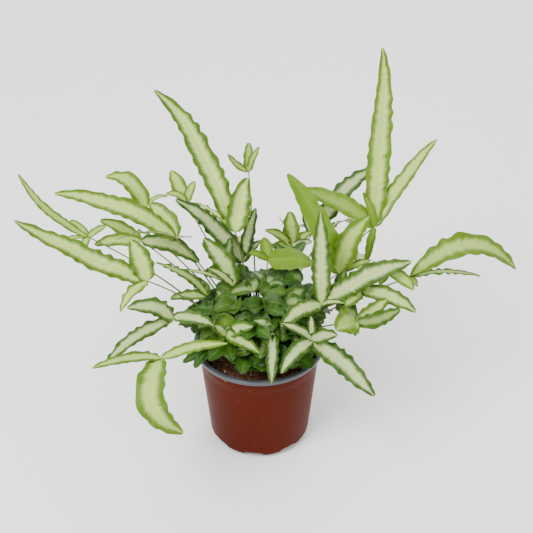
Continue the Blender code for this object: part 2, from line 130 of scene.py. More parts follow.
FRONDS = [
    Frond("frond_left_long", (-97, -15, 183), 0.42, 0.95, [
        B((-204, -20, 249), 19, arch=-0.02),
        B((-111, 0, 216), 18),
        B((-118, -45, 172), 12, arch=0.10, side=-0.05, twist=30, age=0.2),
    ]),
    Frond("frond_left_high", (-75, 35, 194), 0.35, 0.95, [
        B((-180, 40, 238), 17, arch=0.10),
        B((-147, 60, 213), 13, arch=0.10),
        B((-98, 62, 213), 19),
        B((-124, 10, 210), 6, arch=0.12, roll=80),
    ]),
    Frond("frond_left_curled", (-105, 84, 194), 0.15, 0.8, [
        B((-142, 104, 218), 16, arch=0.25, curl=0.06),
        B((-137, 84, 205), 5),
        B((-85, 95, 200), 4, arch=0.25),
    ]),
    Frond("frond_left_rear", (-68, 85, 198), 0.25, 0.8, [
        B((-83, 112, 218), 13),
        B((-86, 82, 211), 7, arch=0.20),
        B((-60, 101, 213), 8, arch=0.11),
    ]),
    Frond("frond_far_left", (-153, 35, 195), 0.25, 0.75, [
        B((-207, 30, 264), 8, arch=-0.08),
        B((-137, 45, 201), 6),
        B((-159, 15, 180), 8, arch=0.2),
        B((-189, 20, 196), 4),
        B((-171, 50, 203), 7),
    ]),
    Frond("frond_left_inner", (-107, 45, 184), 0.3, 0.8, [
        B((-145, 60, 196), 11),
        B((-149, 40, 183), 11),
        B((-55, 45, 160), 15, arch=0.12, age=0.7, pale=0.95),
    ]),
    Frond("frond_tall_left", (-21, 25, 207), 0.5, 1.0, [
        B((-92, 90, 313), 21, arch=0.05, side=-0.02, hook=-0.035, late=0.15),
        B((-10, 45, 251), 19),
        B((-56, 35, 232), 5),
    ]),
    Frond("sprig_top", (-10, 110, 218), 0.35, 0.7, [
        B((-10, 124, 241), 9),
        B((-29, 115, 234), 6, arch=-0.12),
        B((0, 120, 239), 6),
    ]),
    Frond("frond_centre_rear", (-15, 45, 160), 0.85, 0.95, [
        B((-75, 55, 222), 18),
        B((-3, 75, 200), 11),
        B((2, 60, 175), 7),
    ]),
    Frond("frond_centre_left", (-23, 10, 159), 0.7, 0.9, [
        B((-49, 20, 204), 18),
        B((-68, 0, 184), 4),
        B((-45, 5, 182), 7),
    ]),
    Frond("frond_left_ribbon", (-46, 0, 156), 0.65, 0.7, [
        B((-89, -10, 199), 9, twist=45),
        B((-58, 10, 168), 10),
        B((-80, 4, 149), 9),
    ]),
    Frond("frond_front_left", (-74, -40, 162), 0.75, 0.95, [
        B((-111, -55, 184), 16, arch=0.12),
        B((-130, -80, 144), 13),
        B((-39, -45, 157), 11, arch=0.14),
    ]),
    Frond("frond_drooping", (-82, -80, 150), 0.3, 0.8, [
        B((-137, -100, 156), 9, arch=0.10, age=0.5),
        B((-63, -120, 102), 24, arch=0.20, side=-0.34, age=0.35),
        B((-26, -75, 162), 9, age=0.15, twist=25),
    ]),
    Frond("frond_front_low", (-29, -35, 138), 0.65, 0.9, [
        B((-39, -40, 153), 9),
        B((-5, -46, 157), 12),
        B((0, -63, 142), 11),
        B((-34, -31, 159), 18, age=0.6, pale=0.3),
    ]),
    Frond("frond_right_long", (55, -15, 157), 0.7, 1.0, [
        B((132, -10, 200), 19, arch=0.07, late=0.12),
        B((53, 10, 238), 17, arch=0.03),
        B((19, -45, 156), 14, arch=0.14),
        B((74, -30, 170), 5),
    ]),
    Frond("frond_front_right", (46, -45, 141), 0.8, 1.0, [
        B((98, -95, 121), 18, arch=0.06),
        B((19, -75, 129), 13, arch=0.16),
        B((45, -35, 160), 7),
        B((19, -50, 164), 8),
        B((67, -60, 159), 12),
    ]),
    Frond("frond_front_middle", (12, -35, 143), 0.8, 0.9, [
        B((11, -75, 117), 11, arch=0.14),
        B((-4, -45, 163), 9),
    ]),
    Frond("frond_right_low", (84, -40, 157), 0.5, 0.9, [
        B((120, -50, 179), 13, arch=-0.08, age=0.7, pale=0.6),
        B((65, -70, 172), 22, arch=0.10, age=0.3, pale=0.7),
        B((111, -30, 175), 13, arch=-0.05),
        B((82, -60, 158), 7),
    ]),
    Frond("frond_right_middle", (90, -10, 168), 0.4, 0.8, [
        B((136, -31, 161), 14, arch=0.14, age=0.6, pale=1.0),
        B((75, -25, 163), 12),
    ]),
    Frond("frond_right_broad", (71, 15, 169), 0.3, 0.75, [
        B((25, 60, 246), 21, arch=0.08, age=0.1, pale=0.1),
        B((96, 20, 227), 21, age=0.35),
        B((100, 16, 183), 7),
    ]),
    Frond("frond_tall_right", (104, 50, 196), 0.25, 0.9, [
        B((109, 120, 340), 21, arch=0.04, hook=-0.018, late=-0.04),
        B((160, 90, 264), 14, arch=0.06, age=0.2),
        B((93, 58, 228), 7, age=0.1, pale=0.3),
        B((38, 92, 209), 16, arch=0.10, age=0.1, pale=0.5),
        B((97, 30, 171), 7, pale=0.3),
    ]),
    Frond("frond_right_rear", (49, 85, 164), 0.85, 1.0, [
        B((109, 120, 219), 19, arch=0.08),
        B((41, 100, 184), 9),
    ]),
    Frond("frond_centre_cluster", (30, 60, 168), 0.4, 0.7, [
        B((28, 80, 193), 14),
        B((5, 60, 186), 9),
        B((18, 70, 194), 4, roll=70),
        B((49, 70, 177), 8),
        B((49, 55, 176), 7, age=0.8, pale=1.0),
        B((10, 50, 173), 7),
    ]),
    Frond("frond_centre_lime", (8, 30, 174), 0.15, 0.4, [
        B((4, 45, 188), 10),
        B((48, 20, 175), 18, arch=0.08, pale=0.2),
        B((-9, 20, 188), 7),
    ]),
    Frond("frond_far_right", (134, 5, 172), 0.3, 0.7, [
        B((227, 15, 188), 24, arch=0.24, curl=0.15, late=0.42),
        B((194, -5, 181), 6, arch=0.10, roll=70, age=0.7),
        B((120, 0, 176), 4),
        B((139, -10, 173), 5),
    ]),
    Frond("frond_right_lime", (114, -5, 185), 0.1, 0.4, [
        B((135, -15, 173), 10, arch=0.15, pale=0.75),
        B((105, -15, 178), 6, arch=0.15),
    ]),
    Frond("frond_back_right", (60, 115, 140), 0.6, 0.9, [
        B((95, 160, 125), 13, arch=0.16),
        B((60, 170, 135), 15, arch=0.16),
        B((30, 150, 125), 12, arch=0.16),
    ], BACK_LIGHT),
    Frond("frond_back_middle", (25, 90, 135), 0.4, 0.8, [
        B((35, 140, 100), 13, arch=0.18),
        B((5, 135, 110), 11, arch=0.16),
    ], BACK_LIGHT),
    Frond("frond_back_left", (-25, 90, 140), 0.7, 0.9, [
        B((-38, 140, 110), 14, arch=0.18),
        B((-12, 140, 118), 11, arch=0.16),
        B((-50, 115, 130), 9, arch=0.12),
    ], BACK_LIGHT),
    Frond("frond_back_far_left", (-92, 95, 145), 0.5, 0.9, [
        B((-130, 125, 135), 14, arch=0.16),
        B((-100, 150, 120), 15, arch=0.18),
        B((-65, 115, 140), 9, arch=0.12),
    ], BACK_LIGHT),
    Frond("frond_back_far_right", (95, 75, 130), 0.65, 0.9, [
        B((128, 100, 110), 13, arch=0.18),
        B((100, 120, 115), 12, arch=0.16),
        B((120, 65, 125), 10, arch=0.14),
    ], BACK_LIGHT),
]

# Young fronds fill the crown: azimuth (degrees), reach and height of the hub, and the turn of the leaflets.
YoungFrond = namedtuple("YoungFrond", "azimuth reach height length width turn", defaults=(32, 14, 0))
YOUNG = [
    YoungFrond(-95, 14, 150, length=30, width=13),
    YoungFrond(-150, 30, 142, turn=30),
    YoungFrond(-30, 26, 140),
    YoungFrond(-112, 34, 118),
    YoungFrond(-52, 34, 116),
    YoungFrond(-88, 46, 112, length=28, width=12),
    YoungFrond(-162, 48, 124),
    YoungFrond(20, 44, 128),
    YoungFrond(145, 46, 120),
    YoungFrond(35, 49, 116),
    YoungFrond(77, 47, 122),
    YoungFrond(60, 20, 142, length=30, width=13),
    YoungFrond(115, 19, 146, length=30, width=13),
    YoungFrond(-90, 27, 126, length=26, width=12, turn=-15),
]
YOUNG_FAN = (-62, 0, 58)
YOUNG_RISE = (20, 32, 15)
YOUNG_AGE = 0.9
YOUNG_PALE = 0.22

# The smallest fronds are spread over the crown in a spiral, and the four of CROWN_FILL close its gaps.
CROWN_COUNT = 54
CROWN_RADIUS = 50
CROWN_TOP = 152
CROWN_FALL = 34
CROWN_GROUPS = 4
GOLDEN_TURN = math.pi * (3 - math.sqrt(5))
CROWN_FILL = [
    Frond("crown_frond_left", (-40, -27, 115), 0.95, 0.15, [
        B((-68, -36, 108), 9, arch=0.1),
        B((-57, -46, 110), 10, arch=0.2),
    ]),
    Frond("crown_frond_right", (68, -12, 156), 0.75, 0.5, [
        B((97, -8, 171), 13),
        B((86, -26, 150), 14, arch=0.15),
        B((76, 8, 178), 12),
    ]),
    Frond("crown_frond_rear_left", (-30, 30, 160), 0.85, 0.55, [
        B((-52, 42, 184), 10),
        B((-50, 22, 162), 11, arch=0.15),
        B((-26, 48, 186), 10),
    ]),
    Frond("crown_frond_rear_right", (25, 30, 162), 0.9, 0.4, [
        B((42, 44, 184), 11),
        B((14, 46, 182), 11),
        B((38, 16, 158), 13, arch=0.15),
    ]),
]

# A stipe's foot stands on the rhizome, as far out as its hub times STIPE_SHARE.
STIPE_SHARE = 26.6 / 157
STIPE_STEEPNESS = 0.62
STIPE_SPREAD = 0.36
STIPE_FOOT = (RHIZOME_HIGH[2] + 0.3 * MM) / MM

# Blades, in millimetres, degrees and shares of a blade's length
LONG_BLADE = 60
MIDDLE_BLADE = 32
SWAY_DEPTH = 0.8
SWAY_LENGTH = 60
CURL_START = 0.66
HOOK_SCALE = 9.5
ROLL_SPREAD = 14
TWIST_SPREAD = 22
MIDRIB_END = 0.08

# Bake map: finishes on a frond, and the margin in millimetres on each side of a blade's row
FINISH_COUNT = 3
BAKE_GAP = 0.4

# Rows along and columns across each size of blade, and rings along and sides round the midribs and stipes
FROND_DETAIL = {"long": (96, 16), "middle": (56, 12), "short": (36, 10), "midrib": (24, 6), "stipe": (28, 10)}
CROWN_DETAIL = {"long": (14, 8), "middle": (14, 8), "short": (14, 8), "midrib": (6, 4), "stipe": (10, 5)}


# ---------------------------------------- material maths

class Flow:
    """A value in a material's maths. Arithmetic on it adds the Math nodes."""

    def __init__(self, finish, socket):
        self.finish = finish
        self.socket = socket

    def math(self, operation, *values):
        return self.finish.add("ShaderNodeMath", {"operation": operation}, *values)

    def __add__(self, other):
        return self.math("ADD", self, other)

    def __sub__(self, other):
        return self.math("SUBTRACT", self, other)

    def __rsub__(self, other):
        return self.math("SUBTRACT", other, self)

    def __mul__(self, other):
        return self.math("MULTIPLY", self, other)

    __radd__ = __add__

    def distance(self):
        return self.math("ABSOLUTE", self)

    def wave(self):
        return self.math("SINE", self)

    def at_most(self, limit):
        return self.math("MINIMUM", self, limit)

    def fade(self, low, high, start=0.0, end=1.0):
        """start below low, end above high, and a smooth change between them."""
        return self.finish.add("ShaderNodeMapRange", {"interpolation_type": "SMOOTHSTEP"},
                               self, low, high, start, end)


class Finish:
    """A Principled material and the nodes that vary it."""

    def __init__(self, name, **fixed):
        self.material = bpy.data.materials.new(name)
        self.material.use_nodes = True
        self.tree = self.material.node_tree
        self.shader = self.tree.nodes["Principled BSDF"]
        for label, value in fixed.items():
            self.shader.inputs[label.replace("_", " ")].default_value = value

    def add(self, kind, settings, *values, output=0):
        """Adds a node with its settings first, then a value or a link for each of its sockets in turn."""
        node = self.tree.nodes.new(kind)
        for name, value in settings.items():
            setattr(node, name, value)
        sockets = [socket for socket in node.inputs if socket.enabled]
        for socket, value in zip(sockets, values):
            if isinstance(value, Flow):
                self.tree.links.new(value.socket, socket)
            elif value is not None:
                socket.default_value = value
        outputs = [socket for socket in node.outputs if socket.enabled]
        return Flow(self, outputs[output])

    def split(self, flow, part):
        return self.add("ShaderNodeSeparateXYZ", {}, flow, output=part)

    def join(self, x, y, z=0.0):
        return self.add("ShaderNodeCombineXYZ", {}, x, y, z)

    def mix(self, share, first, second):
        return self.add("ShaderNodeMix", {"data_type": "RGBA"}, share, colour(first), colour(second))

    def noise(self, vector, scale, detail=2.0, dimensions="3D"):
        return self.add("ShaderNodeTexNoise", {"noise_dimensions": dimensions}, vector, scale, detail)

    def place(self):
        return self.add("ShaderNodeTexCoord", {}, output=3)

    def surface(self, name):
        return self.add("ShaderNodeUVMap", {"uv_map": name})

    def trait(self, name):
        return self.add("ShaderNodeAttribute", {"attribute_name": name}, output=1)

    def bump(self, height, depth, strength=1.0):
        """Depth is in metres."""
        node = self.tree.nodes.new("ShaderNodeBump")
        node.inputs["Strength"].default_value = strength
        node.inputs["Distance"].default_value = depth
        self.tree.links.new(height.socket, node.inputs["Height"])
        self.tree.links.new(node.outputs["Normal"], self.shader.inputs["Normal"])

    def feed(self, label, flow):
        self.tree.links.new(flow.socket, self.shader.inputs[label])


def colour(value):
    """A hex colour as linear RGBA; links and numbers pass through."""
    if not isinstance(value, str):
        return value
    channels = [int(value[i:i + 2], 16) / 255 for i in (0, 2, 4)]
    linear = [c / 12.92 if c <= 0.04045 else ((c + 0.055) / 1.055) ** 2.4 for c in channels]
    return (*linear, 1.0)


def leaf_finish(name, underside=False):
    """Feathered pale band along the midrib, green margins, and fine veins that lean towards the tip."""
    finish = Finish(name, Roughness=0.45, Specular_IOR_Level=0.16)
    share = finish.surface("blade")
    along = finish.split(share, 0)
    side = (finish.split(share, 1) * 2 - 1).distance()
    size = finish.surface("blade_size")
    length = finish.split(size, 0) * 100
    across = finish.split(size, 1) * 100
    reach = across.distance()
    tone = finish.trait("tone")
    age = finish.split(tone, 0)
    pale = finish.split(tone, 1)
    seed = finish.split(tone, 2)

    vein = length - reach * 0.45
    sided = across.math("SIGN", across)
    streak = finish.noise(finish.join(vein * 1.5, seed * 91 + sided * 3), 1.0, 3.0, "2D")
    patch = finish.noise(finish.join(vein * 0.16, seed * 57 + sided * 5), 1.0, 1.0, "2D")
    edge = 0.38 - age * 0.16 + pale * 0.28 + (streak - 0.5) * 0.40 + (patch - 0.5) * 0.30
    tip = along.fade(0.72, 1.0, 0.0, 0.28)
    foot = along.fade(0.0, 0.10, 0.2, 0.0)
    band = (side - edge + tip + foot).fade(-0.36, 0.18, 1.0, 0.0)

    if underside:
        lime_margin, dark_margin = "6E8E28", "44622A"
        lime_core, dark_core, pale_core = "9CB848", "5F8236", "A9BF78"
    else:
        lime_margin, dark_margin = "52700C", "1E3C0B"
        lime_core, dark_core, pale_core = "668C12", "3C6619", "B8D26A"
    margin = finish.mix(age.fade(0.05, 0.95), lime_margin, dark_margin)
    cloudy = finish.noise(finish.place(), 55.0, 3.0)
    margin = finish.mix((cloudy - 0.5) * 1.2 + 0.25, margin, finish.mix(age, "74941A", "345C15"))
    core = finish.mix(age.fade(0.4, 0.9), lime_core, dark_core)
    core = finish.mix(pale.fade(0.2, 0.9), core, finish.mix(age.fade(0.4, 0.9), pale_core, "B0C386"))
    chalk = side.fade(0.10, 0.45) * pale * 0.65
    core = finish.mix(chalk * streak.fade(0.35, 0.7), core, "D6E4A0")
    flat = finish.mix(band * (0.30 + pale * 0.70).at_most(1.0), margin, core)
    flat = finish.mix(streak.fade(0.52, 0.72) * side * 0.45, flat, margin)
    lines = (vein * (math.tau / 1.05)).wave()
    flat = finish.mix(lines.fade(0.2, 1.0) * 0.17, flat, finish.mix(age, "86A838", "3C6420"))
    rib = reach.fade(0.06, 0.24, 1.0, 0.0) * along.fade(0.7, 1.0, 0.7, 0.15) * (0.55 + pale * 0.45)
    flat = finish.mix(rib, flat, finish.mix(age.fade(0.3, 0.9), "A0B444", "849A50"))
    rim = side.fade(0.93, 1.0) * 0.45
    flat = finish.mix(rim, flat, finish.mix(age, "6E9220", "37591A"))
    finish.feed("Base Color", flat)
    rough = 0.50 if underside else 0.36
    finish.feed("Roughness", rough - age * 0.06 + (cloudy - 0.5) * 0.25 + band * 0.06)
    finish.bump(lines * 0.35 + streak * 0.5 + cloudy * 0.4, 0.25 * MM, 0.6)
    return finish.material


def stipe_finish():
    """Wiry stalks, brown at the foot and olive above."""
    finish = Finish("fern_stipe", Roughness=0.4, Specular_IOR_Level=0.25)
    along = finish.split(finish.surface("blade"), 0)
    tone = finish.split(finish.trait("tone"), 0)
    grain = finish.noise(finish.place(), 420.0, 3.0)
    green = finish.mix(tone.fade(0.1, 0.9), "5A6B22", "2A3314")
    flat = finish.mix(along.fade(0.0, 0.35), "1E140C", green)
    flat = finish.mix((grain - 0.4) * 0.9, flat, "44441E")
    finish.feed("Base Color", flat)
    finish.feed("Roughness", 0.32 + grain * 0.25)
    finish.bump(grain, 0.2 * MM, 0.5)
    return finish.material


def plastic_finish(name, base, lighter, roughness, shine):
    """Thermoformed plastic: a faint orange peel, drawn-out flow bands and a little dust."""
    finish = Finish(name, Roughness=roughness, Specular_IOR_Level=shine)
    place = finish.place()
    height = finish.split(place, 2)
    peel = finish.noise(place, 900.0, 2.0)
    mottle = finish.noise(place, 45.0, 4.0)
    flow = finish.noise(finish.join(0.0, 0.0, height * 1000), 0.35, 3.0)
    dust = finish.noise(place, 260.0, 1.0).fade(0.74, 0.80)
    flat = finish.mix(mottle * 0.5 + flow * 0.35, base, lighter)
    flat = finish.mix(dust * 0.35, flat, "7A6A60")
    finish.feed("Base Color", flat)
    finish.feed("Roughness", roughness + (mottle - 0.5) * 0.16 + dust * 0.25)
    finish.bump(peel * 0.5 + flow * 0.6 + mottle, 0.12 * MM, 0.7)
    return finish.material


def earth_finish(name, dark, mid, light, roughness=0.92):
    """Moist, crumbly organic matter."""
    finish = Finish(name, Roughness=roughness, Specular_IOR_Level=0.15)
    place = finish.place()
    clods = finish.noise(place, 240.0, 5.0)
    shreds = finish.noise(place, 900.0, 4.0)
    flat = finish.mix(clods.fade(0.35, 0.65), dark, mid)
    flat = finish.mix(shreds.fade(0.56, 0.72) * 0.8, flat, light)
    finish.feed("Base Color", flat)
    finish.feed("Roughness", roughness - shreds * 0.2)
    finish.bump(clods + shreds * 0.4, 0.9 * MM)
    return finish.material


# ---------------------------------------- mesh helpers

def start_clean():
    if bpy.context.object and bpy.context.object.mode != "OBJECT":
        bpy.ops.object.mode_set(mode="OBJECT")
    bpy.ops.object.select_all(action="DESELECT")


def choose(*pieces):
    """Selects only these pieces and makes the first one active."""
    start_clean()
    for piece in pieces:
        piece.select_set(True)
    bpy.context.view_layer.objects.active = pieces[0]


def named(name):
    """Names the piece that an operator has just added or joined."""
    piece = bpy.context.object
    piece.name = piece.data.name = name
    return piece


def primitive(name, add, **settings):
    start_clean()
    add(**settings)
    return named(name)


def apply_modifier(piece, kind, **settings):
    modifier = piece.modifiers.new(kind.title(), kind)
    for name, value in settings.items():
        setattr(modifier, name, value)
    choose(piece)
    bpy.ops.object.modifier_apply(modifier=modifier.name)


def join_pieces(name, pieces):
    choose(*pieces)
    if len(pieces) > 1:
        bpy.ops.object.join()
    return named(name)


def paint(piece, *finishes):
    piece.data.materials.clear()
    for finish in finishes:
        piece.data.materials.append(finish)


def settle(piece, node=None, smooth=35):
    """Moves a piece from the pot's axis to its place in the frame, hangs it on the root body, and hides the
    part that it stands for.
    """
    choose(piece)
    piece.location = POT_AXIS
    bpy.ops.object.transform_apply(location=True, rotation=True, scale=True)
    if smooth:
        bpy.ops.object.shade_smooth_by_angle(angle=math.radians(smooth))
    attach(piece, "root")
    if node:
        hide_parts(node)
    return piece


def read(items, field, width=1, kind=np.int32):
    """A field of every item, with width numbers in each."""
    values = np.empty(len(items) * width, dtype=kind)
    items.foreach_get(field, values)
    return values if width == 1 else values.reshape(-1, width)


def points_of(mesh):
    return read(mesh.vertices, "co", 3, float)


def move_points(mesh, points):
    mesh.vertices.foreach_set("co", np.ascontiguousarray(points).ravel())
    mesh.update()


def write_map(mesh, name, values):
    layer = mesh.uv_layers.get(name) or mesh.uv_layers.new(name=name)
    layer.uv.foreach_set("vector", np.ascontiguousarray(values, dtype=np.float32).ravel())


def copy_piece(original, name):
    piece = original.copy()
    piece.data = original.data.copy()
    piece.name = piece.data.name = name
    bpy.context.collection.objects.link(piece)
    return piece


def discard(*pieces):
    for piece in pieces:
        bpy.data.objects.remove(piece, do_unlink=True)


def lathe(name, profile, steps):
    """A closed run of (radius, height) points drawn as edges and spun about the pot's axis."""
    piece = primitive(name, bpy.ops.mesh.primitive_plane_add, size=1 * MM)
    bpy.ops.object.mode_set(mode="EDIT")
    bpy.ops.mesh.select_mode(type="VERT")
    bpy.ops.mesh.select_all(action="SELECT")
    bpy.ops.mesh.merge(type="CENTER")
    bpy.ops.transform.translate(value=(profile[0][0], 0, profile[0][1]))
    for (radius, height), (before, low) in zip(profile[1:], profile):
        bpy.ops.mesh.extrude_region_move(
            TRANSFORM_OT_translate={"value": (radius - before, 0, height - low)})
    bpy.ops.mesh.select_all(action="SELECT")
    bpy.ops.mesh.spin(steps=steps, angle=math.tau, center=(0, 0, 0), axis=(0, 0, 1))
    bpy.ops.mesh.select_all(action="SELECT")
    bpy.ops.mesh.remove_doubles(threshold=0.02 * MM)
    bpy.ops.mesh.normals_make_consistent(inside=False)
    bpy.ops.object.mode_set(mode="OBJECT")
    return piece


def unit(rows):
    return rows / np.linalg.norm(rows, axis=-1, keepdims=True)


# ---------------------------------------- blades and stipes

# A mesh that pieces are copied from, and its number of rows
Pattern = namedtuple("Pattern", "rows piece")


def blade_pattern(name, rows, columns):
    """A flat blade, two units long and wide, that every leaflet is bent from."""
    piece = primitive(name, bpy.ops.mesh.primitive_grid_add, x_subdivisions=rows, y_subdivisions=columns,
                      size=2, calc_uvs=True)
    piece.data.uv_layers[0].name = "blade"
    return Pattern(rows, piece)


def tube_pattern(name, rings, sides):
    """A closed rod two units long, with rings along it, that every stalk and midrib is bent from."""
    piece = primitive(name, bpy.ops.mesh.primitive_cylinder_add, vertices=sides, radius=1, depth=2,
                      end_fill_type="NGON")
    mesh = piece.data
    bpy.ops.object.mode_set(mode="EDIT")
    bpy.ops.mesh.select_all(action="DESELECT")
    bpy.ops.mesh.select_mode(type="EDGE")
    bpy.ops.object.mode_set(mode="OBJECT")
    for edge in mesh.edges:
        first, second = (mesh.vertices[i].co for i in edge.vertices)
        edge.select = abs(first.z - second.z) > 1
    bpy.ops.object.mode_set(mode="EDIT")
    bpy.ops.mesh.subdivide(number_cuts=rings - 1)
    bpy.ops.object.mode_set(mode="OBJECT")
    mesh.uv_layers[0].name = "blade"
    return Pattern(rings, piece)


def curve_rows(start, control, end, count):
    t = np.linspace(0, 1, count)[:, None]
    return (1 - t) ** 2 * start + 2 * t * (1 - t) * control + t ** 2 * end


def blade_rows(hub, blade, count):
    """The centre line of a blade, and its direction and share of the length at each row."""
    tip = np.array(blade.tip, float)
    chord = tip - hub
    length = np.linalg.norm(chord)
    along = chord / length
    lift = unit(np.array((0, 0, 1.0)) - along * along[2])
    left = np.cross(lift, along)
    control = (hub + tip) / 2 + 2 * length * (blade.arch * lift + blade.side * left)
    centre = curve_rows(hub, control, tip, count)
    t = np.linspace(0, 1, count)
    swing = blade.hook * length * HOOK_SCALE * t ** 3 * (1 - t)
    curled = np.clip((t - CURL_START) / (1 - CURL_START), 0, 1) ** 2
    wave = np.sin(math.tau * t * length / SWAY_LENGTH + sum(tip)) * np.sin(math.pi * t)
    sway = SWAY_DEPTH * min(1, blade.width / 14) * wave
    centre = centre + lift * (sway - blade.curl * length * curled)[:, None] + left * swing[:, None]
    return centre, unit(np.gradient(centre, axis=0)), t


def half_width(t, width, length, late):
    """Short leaflets are blunt and widest near their middle; long ones are straps with drawn-out tips."""
    long = min(1.0, max(0.0, (length - 25) / 70))
    swell = np.sin(math.pi * np.clip(t, 0, 0.9995) ** (0.78 - 0.08 * long + late)) ** (0.50 + 0.02 * long)
    foot = width * 0.07 * (1 - t) ** 6
    return np.maximum(width * (1.16 - 0.13 * long) * swell, np.maximum(0.35, foot)) / 2


def frames_along(along, t, blade, light):
    """The across and outward directions at each row."""
    light = np.array(light, float)
    facing = unit(light - along * (along @ light)[:, None])
    flat = np.cross(facing, along)
    turn = np.radians(blade.roll + blade.twist * t)[:, None]
    across = np.cos(turn) * flat + np.sin(turn) * np.cross(along, flat)
    return across, np.cross(along, across)


def mark(piece, strip, age, pale, seed):
    """Gives a blade or rod its strip number for the bake layout and its tone."""
    mesh = piece.data
    number = mesh.attributes.new("strip", "INT", "FACE")
    number.data.foreach_set("value", np.full(len(mesh.polygons), strip, dtype=np.int32))
    tone = mesh.attributes.new("tone", "FLOAT_VECTOR", "POINT")
    values = np.tile(np.array((age, pale, seed), dtype=np.float32), len(mesh.vertices))
    tone.data.foreach_set("vector", values)


def lay_blade(piece, rows, hub, blade, light, age, draw, settings):
    """Bends a flat blade onto its centre line, folded at its midrib and ruffled at its margins."""
    mesh = piece.data
    centre, along, t = blade_rows(hub, blade, rows + 1)
    across, outward = frames_along(along, t, blade, light)
    steps = np.linalg.norm(np.diff(centre, axis=0), axis=1)
    run = np.concatenate(([0.0], np.cumsum(steps)))
    flat = points_of(mesh)
    row = np.rint((flat[:, 0] + 1) / 2 * rows).astype(int)
    side = flat[:, 1]
    reach = np.abs(side)
    width = blade.width
    pitch = settings.ruffle_length / MM * (0.6 + 0.4 * width / 16) * (1.15 - 0.4 * age)
    phases = [draw.uniform(0, math.tau) for _ in range(5)]
    left = side > 0
    base = np.where(left, phases[0], phases[1])
    drift = np.where(left, phases[2], phases[3])
    x = run[row]
    beat = math.tau * x / pitch + base + 1.5 * np.sin(math.tau * x / (3.3 * pitch) + drift)
    strength = 0.6 + 0.4 * np.sin(math.tau * x / (4.7 * pitch) + phases[4])
    half = half_width(t[row], width, run[-1], blade.late)
    calm = np.clip(half / (0.5 * width), 0.15, 1)
    ruffle = settings.ruffle_depth / MM * min(1.6, 0.5 + width / 20) * (0.55 + 0.65 * age)
    ruffle = ruffle * min(1, run[-1] / 42) * calm * strength * reach ** 2.2 * np.sin(beat)
    fine = (0.04 + 0.14 * age) * calm * reach ** 3 * np.sin(beat * 2.7 + drift)
    scallop = (0.05 + 0.045 * age) * np.sin(beat + 1.1) * reach
    outline = 1 + scallop + 0.012 * np.sin(2.3 * beat + base) * reach
    tooth = settings.tooth_depth / MM * (0.5 + age) / np.maximum(half, 0.7)
    tooth = np.where((row % 2 == 0) & (reach > 0.999), 1 - tooth, 1)
    fold = math.tan(settings.fold) * half * reach * (1 - 0.5 * reach)
    groove = -0.12 * np.exp(-(side * half / 0.7) ** 2)
    offset = ruffle + fine + fold + groove
    margin = (side * half * outline * tooth)[:, None]
    spot = centre[row] + across[row] * margin + outward[row] * offset[:, None]
    move_points(mesh, spot * MM)
    corner = read(mesh.loops, "vertex_index")
    real = np.stack((x, side * half), axis=1)[corner] / 100
    write_map(mesh, "blade_size", real)


def lay_rod(rod, name, centre, across, outward, radius, end_radius):
    """Bends a copy of the rod onto a line, tapering from one radius to the other."""
    piece = copy_piece(rod.piece, name)
    mesh = piece.data
    flat = points_of(mesh)
    row = np.rint((flat[:, 2] + 1) / 2 * rod.rows).astype(int)
    thickness = radius + (end_radius - radius) * row / rod.rows
    spot = centre[row] + (across[row] * flat[:, :1] + outward[row] * flat[:, 1:2]) * thickness[:, None]
    move_points(mesh, spot * MM)
    corner = read(mesh.loops, "vertex_index")
    angle = (np.arctan2(flat[:, 1], flat[:, 0]) / math.tau + 0.5)[corner]
    write_map(mesh, "blade", np.stack(((row / rod.rows)[corner], angle), axis=1))
    write_map(mesh, "blade_size", np.zeros((len(corner), 2)))
    if np.dot(np.cross(across[0], outward[0]), centre[1] - centre[0]) < 0:
        mesh.flip_normals()
    return piece


def lay_wire(rod, name, start, control, end, radius, end_radius):
    """Bends a copy of the rod along a curve, facing no particular way."""
    centre = curve_rows(start, control, end, rod.rows + 1)
    along = unit(np.gradient(centre, axis=0))
    guide = np.array((0.31, 0.95, 0.02))
    across = unit(np.cross(along, guide))
    return lay_rod(rod, name, centre, across, np.cross(along, across), radius, end_radius)


def stipe_start(hub):
    """Where a stipe leaves the rhizome, and the point that draws its curve upright."""
    foot = np.array((hub[0] * STIPE_SHARE, hub[1] * STIPE_SHARE, STIPE_FOOT))
    return foot, foot + (hub - foot) * (STIPE_SPREAD, STIPE_SPREAD, STIPE_STEEPNESS)


def lay_out_bake(piece, widths):
    """Lays each blade's two sides and each rod in a row of their own on the map that the bake uses."""
    mesh = piece.data
    strips = read(mesh.attributes["strip"].data, "value")
    slots = read(mesh.polygons, "material_index")
    key = np.repeat(strips * FINISH_COUNT + slots, read(mesh.polygons, "loop_total"))
    shares = np.clip(read(mesh.uv_layers["blade"].uv, "vector", 2, np.float32), 0, 1)
    rows = sorted(set(key.tolist()))
    heights = [widths[row // FINISH_COUNT] + 2 * BAKE_GAP for row in rows]
    total = sum(heights)
    base = 0.0
    laid = np.zeros_like(shares)
    for row, height in zip(rows, heights):
        here = key == row
        low = (base + BAKE_GAP) / total
        laid[here, 0] = 0.01 + 0.98 * shares[here, 0]
        laid[here, 1] = low + shares[here, 1] * (height - 2 * BAKE_GAP) / total
        base += height
    write_map(mesh, "OFBake", laid)
    mesh.attributes.remove(mesh.attributes["strip"])


def blade_kind(length):
    if length > LONG_BLADE:
        return "long"
    return "middle" if length > MIDDLE_BLADE else "short"


